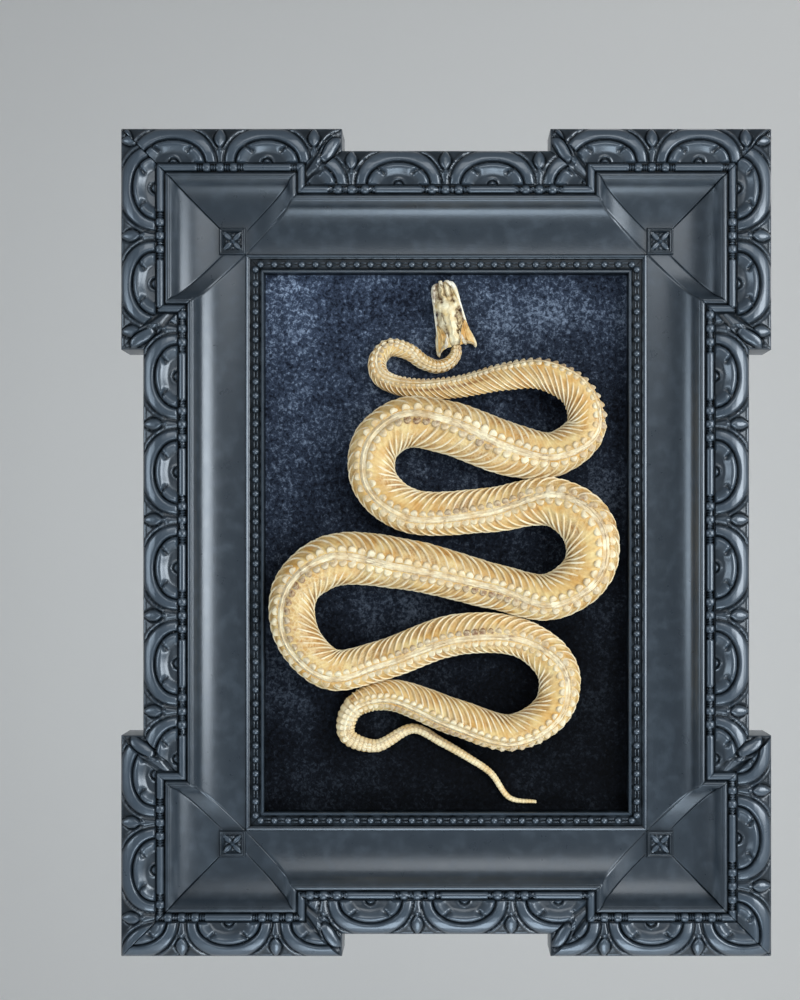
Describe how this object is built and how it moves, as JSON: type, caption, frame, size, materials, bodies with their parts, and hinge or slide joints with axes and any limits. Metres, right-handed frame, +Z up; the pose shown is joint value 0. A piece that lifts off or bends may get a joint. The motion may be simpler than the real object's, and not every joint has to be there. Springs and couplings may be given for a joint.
{
  "type": "framed snake skeleton",
  "caption": "Complete dried snake skeleton lying in tight S-bends on dark velvet, mounted in an ornate eared picture frame that hangs on a wall.",
  "frame": {"origin": "centre of the back face of the backing board, flush with the back of the frame", "axes": "+Z up the frame, +Y out of the back towards the wall, +X to the right seen from the front"},
  "size_m": [0.5594, 0.045, 0.712],
  "materials": {
    "frame_paint": "satin black paint over a moulded wood frame",
    "velvet": "crushed dark blue-black velvet",
    "bone": "matt cream dried bone",
    "rib_membrane": "cream ribs over tan dried membrane",
    "dried_eye": "wrinkled grey dried eye"
  },
  "bodies": {
    "root": {"frame_top": "frame_paint", "sight_strip_top": "frame_paint", "frame_right": "frame_paint", "sight_strip_right": "frame_paint", "frame_bottom": "frame_paint", "sight_strip_bottom": "frame_paint", "frame_left": "frame_paint", "sight_strip_left": "frame_paint", "rosette_top_left": "frame_paint", "rosette_top_right": "frame_paint", "rosette_bottom_left": "frame_paint", "rosette_bottom_right": "frame_paint", "velvet_board": "velvet", "neck_spine": "bone", "neck_ribs_right": "rib_membrane", "neck_ribs_left": "rib_membrane", "trunk_1_spine": "bone", "trunk_1_ribs_right": "rib_membrane", "trunk_1_ribs_left": "rib_membrane", "trunk_2_spine": "bone", "trunk_2_ribs_right": "rib_membrane", "trunk_2_ribs_left": "rib_membrane", "trunk_3_spine": "bone", "trunk_3_ribs_right": "rib_membrane", "trunk_3_ribs_left": "rib_membrane", "trunk_4_spine": "bone", "trunk_4_ribs_right": "rib_membrane", "trunk_4_ribs_left": "rib_membrane", "trunk_5_spine": "bone", "trunk_5_ribs_right": "rib_membrane", "trunk_5_ribs_left": "rib_membrane", "trunk_6_spine": "bone", "trunk_6_ribs_right": "rib_membrane", "trunk_6_ribs_left": "rib_membrane", "trunk_7_spine": "bone", "trunk_7_ribs_right": "rib_membrane", "trunk_7_ribs_left": "rib_membrane", "trunk_8_spine": "bone", "trunk_8_ribs_right": "rib_membrane", "trunk_8_ribs_left": "rib_membrane", "tail_spine": "bone", "cranium": "bone", "upper_jaw_left": "bone", "lower_jaw_left": "bone", "quadrate_left": "bone", "eye_left": "dried_eye", "upper_jaw_right": "bone", "lower_jaw_right": "bone", "quadrate_right": "bone", "eye_right": "dried_eye"}
  },
  "joints": []
}
